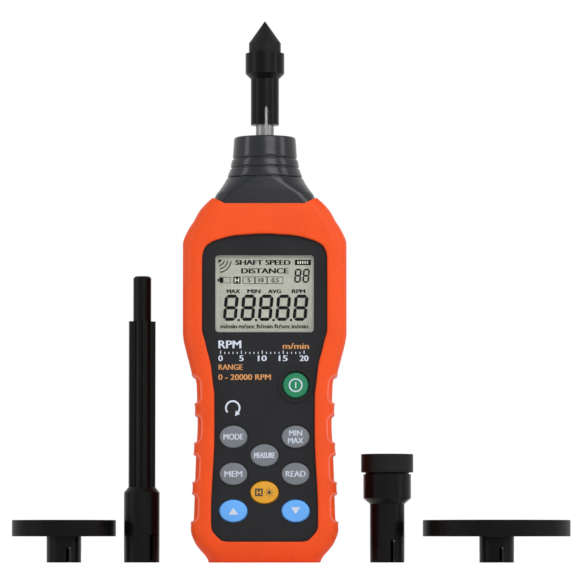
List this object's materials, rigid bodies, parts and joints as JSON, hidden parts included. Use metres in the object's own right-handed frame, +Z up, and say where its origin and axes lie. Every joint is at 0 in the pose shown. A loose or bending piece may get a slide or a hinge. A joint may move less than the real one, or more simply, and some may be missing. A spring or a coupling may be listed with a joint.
{
  "type": "contact tachometer",
  "caption": "Handheld contact tachometer with a display, keypad and turning spindle, a cone tip fitted, and its loose extension rod, funnel adapter and perimeter wheels.",
  "frame": {"origin": "centre of the grip's flat foot on the ground, under the spindle's axis", "axes": "+Z up along the spindle towards the cone tip, +X to the right as the display is read, display facing -Y, back facing +Y"},
  "size_m": [0.2475, 0.0654, 0.2413],
  "materials": {
    "case_plastic": "fine moulded grain",
    "grip_rubber": "soft satin overmould",
    "nose_plastic": "semi-gloss moulding",
    "lens": "clear flat window",
    "lcd": "grey-green liquid crystal cell",
    "white_plastic": "moulded",
    "strip_rubber": "elastomer",
    "circuit_board": "solder mask",
    "part_plastic": "moulded",
    "key_green": "satin moulding",
    "key_grey": "satin moulding",
    "key_amber": "satin moulding",
    "key_blue": "satin moulding",
    "tube_metal": "turned",
    "bearing_steel": "ground",
    "cage_brass": "pressed",
    "spindle_steel": "ground bright",
    "screw_steel": "blackened",
    "ribbon": "flat cable",
    "holder_plastic": "satin turned plastic",
    "tip_rubber": "matt",
    "tyre_rubber": "matt",
    "battery_wrap": "plain foil wrap",
    "contact_metal": "plated",
    "lead_cover": "wire insulation",
    "foam": "closed-cell foam"
  },
  "bodies": {
    "case": {"front_case": "case_plastic", "rear_case": "case_plastic", "front_grip": "grip_rubber", "rear_grip": "grip_rubber", "nose_shell": "nose_plastic", "nose_cap": "nose_plastic", "screen_lens": "lens", "lcd_frame": "white_plastic", "lcd_panel": "lcd", "backlight": "white_plastic", "zebra_strips": "strip_rubber", "main_board": "circuit_board", "controller_chip": "part_plastic", "board_parts": "part_plastic", "tactile_switches": "part_plastic", "bearing_tube": "tube_metal", "bearing_outer_rings": "bearing_steel", "optical_sensor": "part_plastic", "sensor_board": "circuit_board", "sensor_cable": "ribbon", "nose_screws": "screw_steel", "battery": "battery_wrap", "battery_terminals": "contact_metal", "battery_snap": "part_plastic", "battery_leads": "lead_cover", "case_screws": "screw_steel", "board_screws": "screw_steel"},
    "spindle": {"spindle": "spindle_steel", "retaining_ring": "screw_steel", "bearing_inner_rings": "bearing_steel", "bearing_balls": "bearing_steel", "bearing_cages": "cage_brass", "encoder_hub": "tube_metal", "encoder_disc": "part_plastic"},
    "tip": {"tip_holder": "holder_plastic", "cone_tip": "tip_rubber"},
    "power_key": {"power_key": "key_green"},
    "mode_key": {"mode_key": "key_grey"},
    "min_max_key": {"min_max_key": "key_grey"},
    "measure_key": {"measure_key": "key_grey"},
    "memory_key": {"memory_key": "key_grey"},
    "read_key": {"read_key": "key_grey"},
    "hold_light_key": {"hold_light_key": "key_amber"},
    "up_key": {"up_key": "key_blue"},
    "down_key": {"down_key": "key_blue"},
    "battery_cover": {"battery_cover": "case_plastic", "cover_pad": "foam", "cover_screw": "screw_steel"},
    "funnel_adapter": {"funnel_holder": "holder_plastic", "funnel_tip": "tip_rubber"},
    "extension_rod": {"extension_rod": "holder_plastic"},
    "small_wheel": {"small_wheel_hub": "holder_plastic", "small_wheel_tyre": "tyre_rubber"},
    "large_wheel": {"large_wheel_hub": "holder_plastic", "large_wheel_tyre": "tyre_rubber"}
  },
  "joints": [
    {"name": "spindle_spin", "type": "hinge", "parent": "case", "child": "spindle", "pos_m": [0, 0, 0.175], "axis": [0, 0, 1], "continuous": true},
    {"name": "tip_pull_off", "type": "slide", "parent": "spindle", "child": "tip", "axis": [0, 0, 1], "range_m": [0, 0.02]},
    {"name": "power_key_press", "type": "slide", "parent": "case", "child": "power_key", "axis": [0, 1, 0], "range_m": [0, 0.0008], "stiffness_N_per_m": 400, "springref_m": -0.0006},
    {"name": "mode_key_press", "type": "slide", "parent": "case", "child": "mode_key", "axis": [0, 1, 0], "range_m": [0, 0.0008], "stiffness_N_per_m": 400, "springref_m": -0.0006},
    {"name": "min_max_key_press", "type": "slide", "parent": "case", "child": "min_max_key", "axis": [0, 1, 0], "range_m": [0, 0.0008], "stiffness_N_per_m": 400, "springref_m": -0.0006},
    {"name": "measure_key_press", "type": "slide", "parent": "case", "child": "measure_key", "axis": [0, 1, 0], "range_m": [0, 0.0008], "stiffness_N_per_m": 400, "springref_m": -0.0006},
    {"name": "memory_key_press", "type": "slide", "parent": "case", "child": "memory_key", "axis": [0, 1, 0], "range_m": [0, 0.0008], "stiffness_N_per_m": 400, "springref_m": -0.0006},
    {"name": "read_key_press", "type": "slide", "parent": "case", "child": "read_key", "axis": [0, 1, 0], "range_m": [0, 0.0008], "stiffness_N_per_m": 400, "springref_m": -0.0006},
    {"name": "hold_light_key_press", "type": "slide", "parent": "case", "child": "hold_light_key", "axis": [0, 1, 0], "range_m": [0, 0.0008], "stiffness_N_per_m": 400, "springref_m": -0.0006},
    {"name": "up_key_press", "type": "slide", "parent": "case", "child": "up_key", "axis": [0, 1, 0], "range_m": [0, 0.0008], "stiffness_N_per_m": 400, "springref_m": -0.0006},
    {"name": "down_key_press", "type": "slide", "parent": "case", "child": "down_key", "axis": [0, 1, 0], "range_m": [0, 0.0008], "stiffness_N_per_m": 400, "springref_m": -0.0006},
    {"name": "battery_cover_lift", "type": "slide", "parent": "case", "child": "battery_cover", "axis": [0, 1, 0], "range_m": [0, 0.03]},
    {"name": "funnel_adapter_lift", "type": "slide", "parent": "case", "child": "funnel_adapter", "axis": [0, 0, 1], "range_m": [0, 0.08]},
    {"name": "extension_rod_lift", "type": "slide", "parent": "case", "child": "extension_rod", "axis": [0, 0, 1], "range_m": [0, 0.08]},
    {"name": "small_wheel_lift", "type": "slide", "parent": "case", "child": "small_wheel", "axis": [0, 0, 1], "range_m": [0, 0.08]},
    {"name": "large_wheel_lift", "type": "slide", "parent": "case", "child": "large_wheel", "axis": [0, 0, 1], "range_m": [0, 0.08]}
  ]
}
